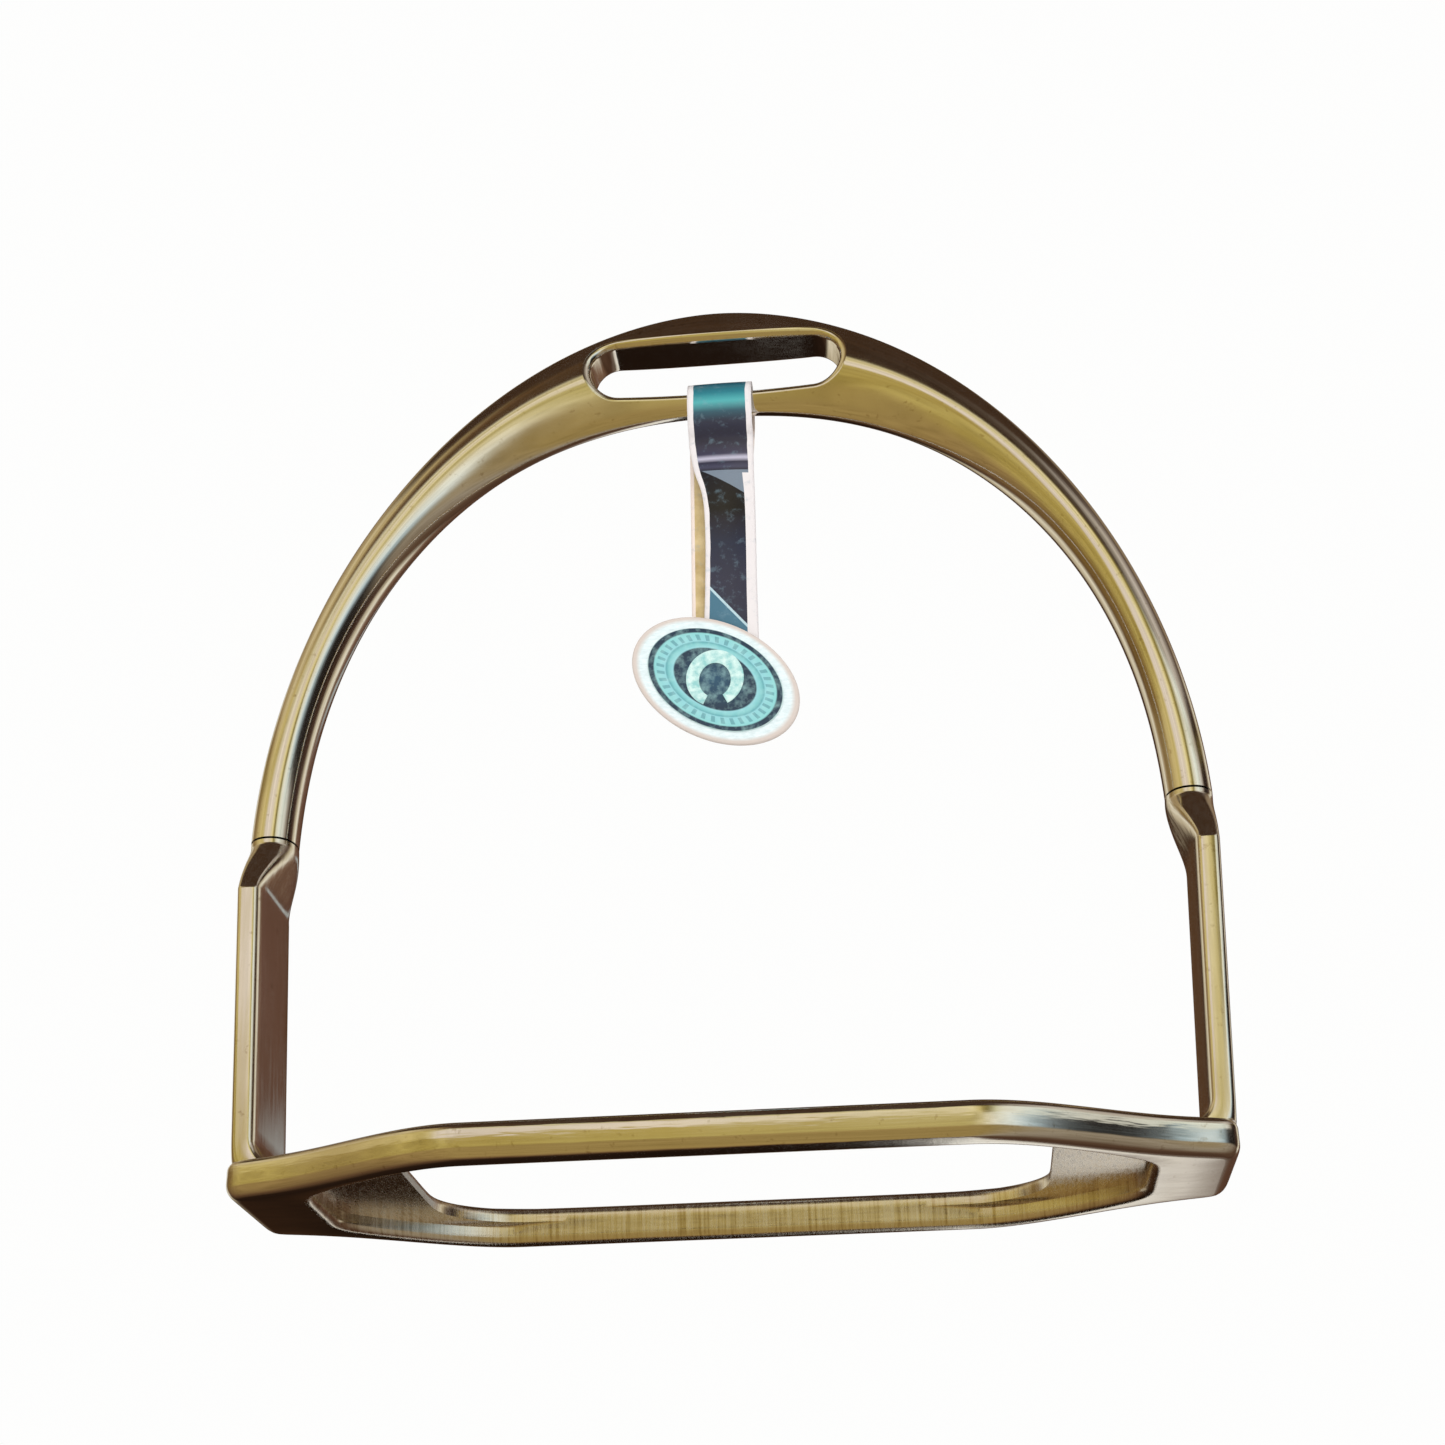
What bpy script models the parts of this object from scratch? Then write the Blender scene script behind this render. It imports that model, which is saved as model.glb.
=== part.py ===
"""English stirrup iron with Prussian sides and an open bottom, and the swing tag that hangs in its eye.

The iron stands on its tread. X runs across it, Y from its front (-) to its back (+) and Z up to the
eye. The origin is the centre of the tread's underside. Sizes are in metres.
"""

import math

import bmesh
import bpy
from mathutils import Matrix, Vector

MM = 0.001
GAP = 0.3 * MM  # seam left between two pieces that are fixed to each other

# Bow: the arch that carries the eye. Its two outlines are superellipses about x = 0.
BOW_OUTER = {"half_width": 64.8 * MM, "rise": 84.6 * MM, "base": 49.0 * MM, "power": 1.91}
BOW_INNER = {"half_width": 58.6 * MM, "rise": 70.0 * MM, "base": 46.0 * MM, "power": 2.25}
BOW_FOOT = 51.0 * MM  # height of the bow's flat ends, where it meets the side plates
BOW_STATIONS = 52
BOW_HALF_DEPTH = 4.0 * MM
EYE_BAR_HALF_DEPTH = 2.2 * MM  # the inner edge of the bow thins to this at the eye
EYE_TAPER_FROM = math.radians(75)  # the thin inner edge is full at the eye down to here
EYE_TAPER_TO = math.radians(42)  # and has gone by here
BOW_CORNER = 2.6 * MM
EYE_BAR_CORNER = 1.3 * MM
KNEE = 0.56  # where the bow's face starts to lean in, from its inner edge (0) to its outer (1)

# Eye: the slot for the stirrup leather.
EYE_HALF_LENGTH = 18.4 * MM
EYE_FLOOR = 119.2 * MM
EYE_CEILING = 127.2 * MM
EYE_ROUND = 1.2 * MM  # radius of the slot's rounded lips

# Side plates. The shoulder is the slope at the top, where a plate narrows to the bow's section.
PLATE_THICKNESS = 3.4 * MM
PLATE_HALF_DEPTH = 8.0 * MM
PLATE_CORNER = 1.0 * MM
PLATE_FOOT_X = 62.3 * MM  # outer face at the tread
SHOULDER_TOP = 50.2 * MM
SHOULDER_BOTTOM = 42.0 * MM
SHOULDER_STATIONS = 8
FOOT_FILLET = 3.2 * MM

# Tread. Its outline is wide in the middle and eases down to a narrow tab under each side plate.
TREAD_HALF_LENGTH = 62.1 * MM
TREAD_HALF_DEPTH = 23.0 * MM
TREAD_THICKNESS = 4.8 * MM
TREAD_EASE_FROM = 33.0 * MM  # distance from the middle where the outline starts to ease in
TREAD_EASE_TO = 56.0 * MM
TAB_HALF_DEPTH = 12.0 * MM
TREAD_ROUND = 1.2 * MM
TREAD_STATIONS = 64  # along each long side
RIM_END_POWER = 11  # how square the tread's own ends are

# The opening goes right through. The pocket round it is cut from below and leaves the rails.
OPENING_HALF_LENGTH = 40.0 * MM
OPENING_RAIL = 4.3 * MM  # width of the rails beside the opening
OPENING_DROP = 2.8 * MM  # height of the opening's lower edge
POCKET_HALF_LENGTH = 51.5 * MM
POCKET_RAIL = 3.7 * MM
POCKET_DEPTH = 2.2 * MM
END_POWER = 7  # how square the ends of the opening and of the pocket are

# Swing tag: a strap looped round the bar below the eye, and an oval disc with a printed seal.
STRAP_HALF_WIDTH = 4.8 * MM
STRAP_THICKNESS = 0.45 * MM
STRAP_CLEARANCE = 0.5 * MM  # between the loop and the bar's faces
LOOP_LIFT = 1.4 * MM  # between the loop and the top of the bar
TAG_HINGE = 110.6 * MM  # height of the crease that the tag swings about
TAG_X = 0.6 * MM
STRAP_END = 66.0 * MM
DISC_CENTRE = (-0.8 * MM, 72.0 * MM)
DISC_HALF_LENGTH = 12.8 * MM
DISC_HALF_WIDTH = 8.6 * MM
DISC_THICKNESS = 0.6 * MM
DISC_TURN = math.radians(35)  # the disc's long axis, turned clockwise from X as seen from the front
SEAL_SCALE = 0.81
SEAL_THICKNESS = 0.3 * MM

ROUND_STEPS = 4  # edges in each rounded corner of a section


def clear_scene():
    for obj in list(bpy.data.objects):
        bpy.data.objects.remove(obj, do_unlink=True)


def new_collection(name):
    collection = bpy.data.collections.new(name)
    bpy.context.scene.collection.children.link(collection)
    return collection


def new_material(name, colour, roughness, metallic):
    material = bpy.data.materials.new(name)
    material.use_nodes = True
    shader = material.node_tree.nodes["Principled BSDF"]
    shader.inputs["Base Color"].default_value = (*colour, 1.0)
    shader.inputs["Roughness"].default_value = roughness
    shader.inputs["Metallic"].default_value = metallic
    material.diffuse_color = (*colour, 1.0)
    return material


def place(mesh, name, collection, material=None):
    """Put a mesh in the scene as one object, shaded smooth with its sharp edges kept."""
    mesh.shade_smooth()
    mesh.set_sharp_from_angle(angle=math.radians(35))
    if material:
        mesh.materials.append(material)
    obj = bpy.data.objects.new(name, mesh)
    collection.objects.link(obj)
    return obj


def smooth(value):
    """Ease from 0 to 1 as value goes from 0 to 1."""
    value = min(max(value, 0.0), 1.0)
    return value * value * (3.0 - 2.0 * value)


def mix(start, end, amount):
    return start + (end - start) * amount


def loft(name, rings):
    """Skin a row of closed rings that have the same number of points, and cap both ends."""
    bm = bmesh.new()
    rows = [[bm.verts.new(point) for point in ring] for ring in rings]
    count = len(rows[0])
    for lower, upper in zip(rows, rows[1:]):
        for i in range(count):
            j = (i + 1) % count
            bm.faces.new((lower[i], lower[j], upper[j], upper[i]))
    bm.faces.new(rows[0])
    bm.faces.new(rows[-1])
    bmesh.ops.recalc_face_normals(bm, faces=bm.faces)
    mesh = bpy.data.meshes.new(name)
    bm.to_mesh(mesh)
    bm.free()
    return mesh


def section(outer, inner, depth_outer, depth_inner, corner_outer, corner_inner):
    """One rounded section of the bow or of a plate.

    outer and inner are its two edges in the XZ plane, and the depths are half thicknesses along Y at
    those edges. The faces keep the outer depth as far as the knee, then lean in to the inner depth.
    """
    outer = Vector((outer[0], 0.0, outer[1]))
    inner = Vector((inner[0], 0.0, inner[1]))
    width = (outer - inner).length
    across = (outer - inner) / width
    back = Vector((0.0, 1.0, 0.0))
    half = []
    for step in range(ROUND_STEPS + 1):
        turn = step / ROUND_STEPS * math.pi / 2
        u = width - corner_outer * (1.0 - math.cos(turn))
        v = depth_outer - corner_outer * (1.0 - math.sin(turn))
        half.append((u, v))
    half.append((width * KNEE, mix(depth_inner, depth_outer, 0.94)))
    for step in range(ROUND_STEPS + 1):
        turn = step / ROUND_STEPS * math.pi / 2
        u = corner_inner * (1.0 - math.sin(turn))
        v = depth_inner - corner_inner * (1.0 - math.cos(turn))
        half.append((u, v))
    mirrored = [(u, -v) for u, v in reversed(half)]
    return [inner + across * u + back * v for u, v in half + mirrored]


def outline_point(outline, parameter):
    """A point (x, z) of one of the bow's two outlines, at 0 over the right side and 90 degrees on top."""
    exponent = 2.0 / outline["power"]
    cosine = math.cos(parameter)
    x = outline["half_width"] * math.copysign(abs(cosine) ** exponent, cosine)
    z = outline["base"] + outline["rise"] * math.sin(parameter) ** exponent
    return x, z


def outline_along(outline, amount):
    """A point of an outline that starts (0) and ends (1) at the height of the bow's flat ends."""
    rise = (BOW_FOOT - outline["base"]) / outline["rise"]
    start = math.asin(rise ** (outline["power"] / 2.0))
    return outline_point(outline, mix(start, math.pi - start, amount))


def bow_section(amount):
    from_side = math.pi * min(amount, 1.0 - amount)
    thin = smooth((from_side - EYE_TAPER_TO) / (EYE_TAPER_FROM - EYE_TAPER_TO))
    return section(
        outline_along(BOW_OUTER, amount),
        outline_along(BOW_INNER, amount),
        BOW_HALF_DEPTH,
        mix(BOW_HALF_DEPTH, EYE_BAR_HALF_DEPTH, thin),
        BOW_CORNER,
        mix(BOW_CORNER, EYE_BAR_CORNER, thin),
    )


def make_bow(parts, cutters, material):
    rings = [bow_section(station / BOW_STATIONS) for station in range(BOW_STATIONS + 1)]
    bow = place(loft("bow", rings), "bow", parts, material)
    cut = bow.modifiers.new("eye", "BOOLEAN")
    cut.operation = "DIFFERENCE"
    cut.solver = "EXACT"
    cut.object = make_eye_cutter(cutters)
    return bow


def round_off(depth, face):
    """How far a lip of radius EYE_ROUND has fallen away at this depth, when its face is at face."""
    into = max(0.0, abs(depth) - (face - EYE_ROUND))
    if into >= EYE_ROUND:
        return EYE_ROUND + (into - EYE_ROUND)
    return EYE_ROUND - math.sqrt(EYE_ROUND**2 - into**2)


def make_eye_cutter(cutters):
    """The slot's shape with rounded lips, front to back through the eye."""
    depths = []
    for face in (EYE_BAR_HALF_DEPTH, BOW_HALF_DEPTH):
        for step in range(ROUND_STEPS + 1):
            turn = step / ROUND_STEPS * math.pi / 2
            depths.append(face - EYE_ROUND + EYE_ROUND * math.sin(turn))
    depths.append(BOW_HALF_DEPTH + EYE_ROUND)
    depths = sorted({round(depth, 7) for depth in depths})
    depths = [-depth for depth in reversed(depths)] + depths
    rings = []
    for depth in depths:
        floor = EYE_FLOOR - round_off(depth, EYE_BAR_HALF_DEPTH)
        ceiling = EYE_CEILING + round_off(depth, BOW_HALF_DEPTH)
        half_length = EYE_HALF_LENGTH + round_off(depth, BOW_HALF_DEPTH)
        middle = (floor + ceiling) / 2
        radius = (ceiling - floor) / 2
        outline = rounded_rectangle(half_length, radius, radius * 0.98, 8)
        rings.append([Vector((x, depth, middle + z)) for x, z in outline])
    cutter = place(loft("eye_cutter", rings), "eye_cutter", cutters)
    cutter.hide_render = True
    cutter.display_type = "WIRE"
    return cutter


def plate_outer_x(z):
    """The outer face leans out a little on its way up, from the tread to the bow."""
    bow_x = outline_along(BOW_OUTER, 0.0)[0]
    bottom = TREAD_THICKNESS + GAP
    return mix(PLATE_FOOT_X, bow_x, (z - bottom) / (BOW_FOOT - bottom))


def plate_stations():
    """Height, thickness, half depth and corner radius of a side plate's sections, from the top down."""
    bow_width = outline_along(BOW_OUTER, 0.0)[0] - outline_along(BOW_INNER, 0.0)[0]
    bottom = TREAD_THICKNESS + GAP
    stations = [(BOW_FOOT - GAP, bow_width, BOW_HALF_DEPTH, BOW_CORNER)]
    for step in range(SHOULDER_STATIONS + 1):
        amount = step / SHOULDER_STATIONS
        thickness = mix(bow_width, PLATE_THICKNESS, smooth(amount))
        depth = mix(BOW_HALF_DEPTH, PLATE_HALF_DEPTH, amount)
        corner = mix(BOW_CORNER, PLATE_CORNER, smooth(amount * 1.6))
        stations.append((mix(SHOULDER_TOP, SHOULDER_BOTTOM, amount), thickness, depth, corner))
    for step in range(7):
        turn = step / 6 * math.pi / 2
        z = bottom + FOOT_FILLET * (1.0 - math.sin(turn))
        thickness = PLATE_THICKNESS + FOOT_FILLET * (1.0 - math.cos(turn))
        stations.append((z, thickness, PLATE_HALF_DEPTH, PLATE_CORNER))
    return stations


def make_side_plate(name, side, parts, material):
    rings = []
    for z, thickness, depth, corner in plate_stations():
        outer = (side * plate_outer_x(z), z)
        inner = (side * (plate_outer_x(z) - thickness), z)
        rings.append(section(outer, inner, depth, depth, corner, corner))
    return place(loft(name, rings), name, parts, material)


def rounded_rectangle(half_x, half_y, radius, steps):
    """Points anticlockwise round a rectangle with rounded corners, centred on the origin."""
    points = []
    centres = [(1, 1), (-1, 1), (-1, -1), (1, -1)]
    for quarter, (sign_x, sign_y) in enumerate(centres):
        for step in range(steps + 1):
            turn = (quarter + step / steps) * math.pi / 2
            x = sign_x * (half_x - radius) + radius * math.cos(turn)
            y = sign_y * (half_y - radius) + radius * math.sin(turn)
            points.append((x, y))
    return points


def ellipse(half_x, half_y, steps):
    turns = [2.0 * math.pi * step / steps for step in range(steps)]
    return [(half_x * math.cos(turn), half_y * math.sin(turn)) for turn in turns]


def plate_from_outlines(name, outlines, thickness, matrix):
    """A flat plate filled between closed outlines and centred on their plane, as a welded mesh."""
    curve = bpy.data.curves.new(name, "CURVE")
    curve.dimensions = "2D"
    curve.fill_mode = "BOTH"
    curve.extrude = thickness / 2
    for outline in outlines:
        spline = curve.splines.new("POLY")
        spline.points.add(len(outline) - 1)
        for point, (x, y) in zip(spline.points, outline):
            point.co = (x, y, 0.0, 1.0)
        spline.use_cyclic_u = True
    guide = bpy.data.objects.new(name, curve)
    bpy.context.scene.collection.objects.link(guide)
    graph = bpy.context.evaluated_depsgraph_get()
    mesh = bpy.data.meshes.new_from_object(guide.evaluated_get(graph))
    bpy.data.objects.remove(guide, do_unlink=True)
    mesh.transform(matrix)
    bm = bmesh.new()
    bm.from_mesh(mesh)
    bmesh.ops.remove_doubles(bm, verts=bm.verts, dist=0.00001)
    bmesh.ops.recalc_face_normals(bm, faces=bm.faces)
    bm.to_mesh(mesh)
    bm.free()
    mesh.name = name
    return mesh


def tread_half_depth(x):
    """Half the tread's width at this distance from the middle, leaving out its rounded ends."""
    ease = smooth((abs(x) - TREAD_EASE_FROM) / (TREAD_EASE_TO - TREAD_EASE_FROM))
    return mix(TREAD_HALF_DEPTH, TAB_HALF_DEPTH, ease)


def tread_outline(half_length, rail, end_power):
    """Points anticlockwise round the tread, set in by a rail's width and with rounded ends."""
    back = []
    for station in range(TREAD_STATIONS):
        turn = math.pi * (station + 0.5) / TREAD_STATIONS
        x = half_length * math.cos(turn)
        end = (1.0 - abs(math.cos(turn)) ** end_power) ** (1.0 / end_power)
        back.append(Vector((x, (tread_half_depth(x) - rail) * end, 0.0)))
    return back + [-point for point in back]


def widened(outline, distance, z):
    """The outline moved outwards by a distance, at this height."""
    ring = []
    for i, point in enumerate(outline):
        along = (outline[(i + 1) % len(outline)] - outline[i - 1]).normalized()
        outwards = Vector((along.y, -along.x, 0.0))
        ring.append(point + outwards * distance + Vector((0.0, 0.0, z)))
    return ring


def rounded_edge(outline, side, level, way):
    """Rings round a quarter of TREAD_ROUND, from the flat at this level to the upright wall.

    side is 1 where metal lies inside the outline and -1 where it lies outside. way is 1 when the wall
    goes up from the level and -1 when it goes down.
    """
    rings = []
    for step in range(ROUND_STEPS + 1):
        turn = step / ROUND_STEPS * math.pi / 2
        away = -side * TREAD_ROUND * (1.0 - math.sin(turn))
        z = level + way * TREAD_ROUND * (1.0 - math.cos(turn))
        rings.append(widened(outline, away, z))
    return rings


def make_tread(parts, material):
    rim = tread_outline(TREAD_HALF_LENGTH, 0.0, RIM_END_POWER)
    opening = tread_outline(OPENING_HALF_LENGTH, OPENING_RAIL, END_POWER)
    pocket = tread_outline(POCKET_HALF_LENGTH, POCKET_RAIL, END_POWER)
    rings = rounded_edge(rim, 1, 0.0, 1)
    rings += reversed(rounded_edge(rim, 1, TREAD_THICKNESS, -1))
    rings += rounded_edge(opening, -1, TREAD_THICKNESS, -1)
    rings.append(widened(opening, 0.0, OPENING_DROP))
    rings.append(widened(pocket, 0.0, POCKET_DEPTH))
    rings += reversed(rounded_edge(pocket, -1, 0.0, 1))
    bm = bmesh.new()
    rows = [[bm.verts.new(point) for point in ring] for ring in rings]
    for lower, upper in zip(rows, rows[1:] + rows[:1]):
        for i in range(len(rim)):
            j = (i + 1) % len(rim)
            bm.faces.new((lower[i], lower[j], upper[j], upper[i]))
    bmesh.ops.recalc_face_normals(bm, faces=bm.faces)
    mesh = bpy.data.meshes.new("tread")
    bm.to_mesh(mesh)
    bm.free()
    return place(mesh, "tread", parts, material)


# Lays an outline's x and y along the world's X and Z, and its thickness along -Y.
UPRIGHT = Matrix.Rotation(math.pi / 2, 4, "X")
# Lays an outline's x and y along the world's Y and Z, and its thickness along X.
SIDEWAYS = Matrix(((0, 0, 1, 0), (1, 0, 0, 0), (0, 1, 0, 0), (0, 0, 0, 1)))


def loop_outline(offset):
    """The strap's loop from the side: over the bar, down both sides of it and together at the crease."""
    half_depth = EYE_BAR_HALF_DEPTH + STRAP_CLEARANCE + offset
    top = EYE_FLOOR + LOOP_LIFT + offset
    crease = TAG_HINGE + STRAP_THICKNESS + GAP + (STRAP_THICKNESS - offset) * 1.6
    right = []
    for step in range(7):
        turn = step / 6 * math.pi / 2
        y = half_depth * math.sin(turn)
        z = top - half_depth * 0.7 * (1.0 - math.cos(turn))
        right.append((y, z))
    right.append((half_depth, mix(crease, top, 0.42)))
    right.append((half_depth * 0.72, mix(crease, top, 0.2)))
    right.append((max(offset, 0.1 * MM), crease))
    left = [(-y, z) for y, z in reversed(right[1:])]
    return right + left


def make_tag_loop(parts, material):
    outlines = [loop_outline(STRAP_THICKNESS), loop_outline(0.0)]
    matrix = Matrix.Translation((TAG_X, 0.0, 0.0)) @ SIDEWAYS
    mesh = plate_from_outlines("tag_loop", outlines, 2 * STRAP_HALF_WIDTH, matrix)
    loop = place(mesh, "tag_loop", parts, material)
    return loop


def make_tag_strap(parts, material):
    """The strap's two legs lying together below the crease, rounded at the top about the crease."""
    outline = []
    for step in range(9):
        turn = step / 8 * math.pi
        outline.append((STRAP_THICKNESS * math.cos(turn), STRAP_THICKNESS * math.sin(turn)))
    drop = STRAP_END - TAG_HINGE
    outline.append((-STRAP_THICKNESS, drop))
    outline.append((STRAP_THICKNESS, drop))
    matrix = Matrix.Translation((TAG_X, 0.0, TAG_HINGE)) @ SIDEWAYS
    mesh = plate_from_outlines("tag_strap", [outline], 2 * STRAP_HALF_WIDTH, matrix)
    return on_hinge(place(mesh, "tag_strap", parts, material))


def on_hinge(obj):
    """Move an object's origin to the crease that it swings about, leaving its shape in place."""
    hinge = Vector((TAG_X, 0.0, TAG_HINGE))
    obj.data.transform(Matrix.Translation(-hinge))
    obj.location = hinge
    return obj


def make_tag_oval(name, scale, thickness, front, parts, material):
    """An oval plate of the tag whose front face is at y = front."""
    outline = ellipse(DISC_HALF_LENGTH * scale, DISC_HALF_WIDTH * scale, 48)
    centre = Matrix.Translation((DISC_CENTRE[0], front + thickness / 2, DISC_CENTRE[1]))
    matrix = centre @ Matrix.Rotation(DISC_TURN, 4, "Y") @ UPRIGHT
    mesh = plate_from_outlines(name, [outline], thickness, matrix)
    return on_hinge(place(mesh, name, parts, material))


def make_tag(parts, card, strap_print, seal_print):
    make_tag_loop(parts, strap_print)
    make_tag_strap(parts, strap_print)
    disc_front = -STRAP_THICKNESS - GAP - DISC_THICKNESS
    make_tag_oval("tag_disc", 1.0, DISC_THICKNESS, disc_front, parts, card)
    seal_front = disc_front - GAP - SEAL_THICKNESS
    make_tag_oval("tag_seal", SEAL_SCALE, SEAL_THICKNESS, seal_front, parts, seal_print)


def main():
    clear_scene()
    parts = new_collection("stirrup_iron")
    cutters = new_collection("cutters")
    polished = new_material("polished_nickel", (0.70, 0.66, 0.52), 0.16, 1.0)
    brushed = new_material("polished_tread", (0.66, 0.62, 0.49), 0.24, 1.0)
    card = new_material("tag_card", (0.84, 0.82, 0.76), 0.55, 0.0)
    strap_print = new_material("tag_strap_print", (0.05, 0.16, 0.22), 0.35, 0.0)
    seal_print = new_material("tag_seal_print", (0.09, 0.25, 0.30), 0.35, 0.0)
    make_bow(parts, cutters, polished)
    make_side_plate("side_plate_left", -1, parts, polished)
    make_side_plate("side_plate_right", 1, parts, polished)
    make_tread(parts, brushed)
    make_tag(parts, card, strap_print, seal_print)


main()
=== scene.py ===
"""Looks of the stirrup iron: polished metal, the printed swing tag, a pale stage, soft light and the camera.

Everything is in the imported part's own frame, in metres: X across the iron, -Y its front and Z up.
"""

import math

import bmesh
import bpy
from mathutils import Matrix, Vector
from mathutils.bvhtree import BVHTree

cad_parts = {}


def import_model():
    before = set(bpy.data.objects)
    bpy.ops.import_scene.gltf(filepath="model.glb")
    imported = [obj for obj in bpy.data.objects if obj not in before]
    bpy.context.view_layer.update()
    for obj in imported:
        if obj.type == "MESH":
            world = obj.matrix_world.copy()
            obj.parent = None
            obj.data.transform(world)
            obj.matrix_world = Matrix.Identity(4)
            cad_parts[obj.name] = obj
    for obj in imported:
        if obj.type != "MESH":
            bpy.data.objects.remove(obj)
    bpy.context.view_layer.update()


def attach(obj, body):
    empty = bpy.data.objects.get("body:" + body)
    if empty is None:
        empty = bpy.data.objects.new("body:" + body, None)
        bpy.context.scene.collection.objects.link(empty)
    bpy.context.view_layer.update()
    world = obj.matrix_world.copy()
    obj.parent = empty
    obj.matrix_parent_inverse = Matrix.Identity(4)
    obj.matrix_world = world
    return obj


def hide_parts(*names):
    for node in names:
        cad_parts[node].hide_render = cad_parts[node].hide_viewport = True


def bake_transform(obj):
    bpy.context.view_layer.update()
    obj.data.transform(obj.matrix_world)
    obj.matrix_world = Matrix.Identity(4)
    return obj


MM = 0.001
BLACK = (0.0, 0.0, 0.0, 1.0)

# Bow. The two outlines are the CAD's superellipses about x = 0.
BOW_OUTER = {"half_width": 64.8 * MM, "rise": 84.6 * MM, "base": 49.0 * MM, "power": 1.91}
BOW_INNER = {"half_width": 58.6 * MM, "rise": 70.0 * MM, "base": 46.0 * MM, "power": 2.25}
BOW_FOOT = 51.0 * MM
BOW_STATIONS = 240
BOW_HALF_DEPTH = 4.0 * MM
EYE_BAR_HALF_DEPTH = 2.1 * MM
EYE_TAPER_FROM = math.radians(68)
EYE_TAPER_TO = math.radians(36)
ARM_ROUNDNESS = 2.15  # power of the section's superellipse: 2 is an ellipse, more is squarer
EYE_ROUNDNESS = 2.5

# Eye.
EYE_HALF_LENGTH = 18.4 * MM
EYE_FLOOR = 119.2 * MM
EYE_CEILING = 127.2 * MM
LIP_RADIUS = 1.25 * MM
LIP_TURN = math.radians(82)  # just short of level, so that the lip still crosses the bow's face
CUTTER_HALF_DEPTH = 6.4 * MM
RAY_START = 20 * MM

# Side plates.
PLATE_THICKNESS = 3.4 * MM
PLATE_HALF_DEPTH = 8.0 * MM
PLATE_ROUNDNESS = 5.5
PLATE_FOOT_X = 62.3 * MM
SEAM = 0.3 * MM
SHOULDER_TOP = 50.2 * MM
SHOULDER_BOTTOM = 42.0 * MM
SHOULDER_STATIONS = 48
PLATE_STATIONS = 24
FOOT_FILLET = 3.2 * MM
FOOT_STATIONS = 10

# Tread.
TREAD_HALF_LENGTH = 62.1 * MM
TREAD_HALF_DEPTH = 23.0 * MM
TREAD_THICKNESS = 4.8 * MM
TREAD_EASE_FROM = 30.0 * MM
TREAD_EASE_TO = 60.0 * MM
TAB_HALF_DEPTH = 12.0 * MM
TREAD_ROUND = 1.2 * MM
RIM_ROUND = 2.0 * MM  # the rim's lower edge
OPENING_HALF_LENGTH = 40.0 * MM
OPENING_RAIL = 3.78 * MM
OPENING_DROP = 2.8 * MM
POCKET_HALF_LENGTH = 51.5 * MM
POCKET_RAIL = 3.7 * MM
POCKET_DEPTH = 2.2 * MM
END_POWER = 7
RIM_END_POWER = 11
TREAD_STATIONS = 220  # along each long side
FILED_FROM = 0.60  # share of the way round the tread's section where its filed walls start

# Swing tag.
TAG_X = 0.6 * MM
STRAP_THICKNESS = 0.28 * MM
STRAP_CUP = 0.12 * MM
DISC_CENTRE = (-0.8 * MM, 72.0 * MM)
DISC_HALF_LENGTH = 12.8 * MM
DISC_HALF_WIDTH = 8.6 * MM
DISC_TURN = math.radians(35)
DISC_BACK = -0.75 * MM
DISC_THICKNESS = 0.6 * MM
SEAL_SCALE = 0.81
PRINT_GAP = 0.02 * MM
PRINT_THICKNESS = 0.12 * MM
SHOE_RADII = (3.1 * MM, 3.5 * MM)
SHOE_HALF_WEB = 1.0125 * MM
SHOE_OPENING = math.radians(52)

# Stage.
FLOOR_DROP = 0.3 * MM
FLOOR_HALF_SIZE = 4.0
MIDDLE_OF_IRON = (0.0, 0.0, 66 * MM)

# Camera: close to the iron, below it and a little to its right, and pointed at its middle.
CAMERA_AZIMUTH = math.radians(5.4)
CAMERA_ELEVATION = math.radians(-26.0)
CAMERA_DISTANCE = 314 * MM
CAMERA_ROLL = math.radians(-1.0)
CAMERA_LENS = 57.0


# ---------------------------------------------------------------- small helpers


def smooth(value):
    value = min(max(value, 0.0), 1.0)
    return value * value * (3.0 - 2.0 * value)


def mix(start, end, amount):
    return start + (end - start) * amount


def srgb(red, green, blue):
    """A colour given as 0 to 255 display values, as the linear colour that Blender wants."""
    linear = []
    for value in (red, green, blue):
        value = value / 255.0
        linear.append(value / 12.92 if value <= 0.04045 else ((value + 0.055) / 1.055) ** 2.4)
    return (*linear, 1.0)


def grey(value):
    return (value, value, value, 1.0)


def mesh_of(name, bm):
    bmesh.ops.recalc_face_normals(bm, faces=bm.faces)
    mesh = bpy.data.meshes.new(name)
    bm.to_mesh(mesh)
    bm.free()
    return mesh


def place(name, mesh, material, sharp=40.0):
    mesh.shade_smooth()
    mesh.set_sharp_from_angle(angle=math.radians(sharp))
    mesh.materials.append(material)
    obj = bpy.data.objects.new(name, mesh)
    bpy.context.scene.collection.objects.link(obj)
    return obj


def skin(bm, rings, around=True, closed=False):
    """Quads between each ring of points and the next. closed joins the last ring to the first."""
    rows = [[bm.verts.new(point) for point in ring] for ring in rings]
    count = len(rows[0])
    following = rows[1:] + rows[:1] if closed else rows[1:]
    for lower, upper in zip(rows, following):
        for i in range(count if around else count - 1):
            j = (i + 1) % count
            bm.faces.new((lower[i], lower[j], upper[j], upper[i]))
    return rows


def loft(name, rings):
    bm = bmesh.new()
    rows = skin(bm, rings)
    bm.faces.new(rows[0])
    bm.faces.new(rows[-1])
    return mesh_of(name, bm)


# ---------------------------------------------------------------- metal shapes


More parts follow.
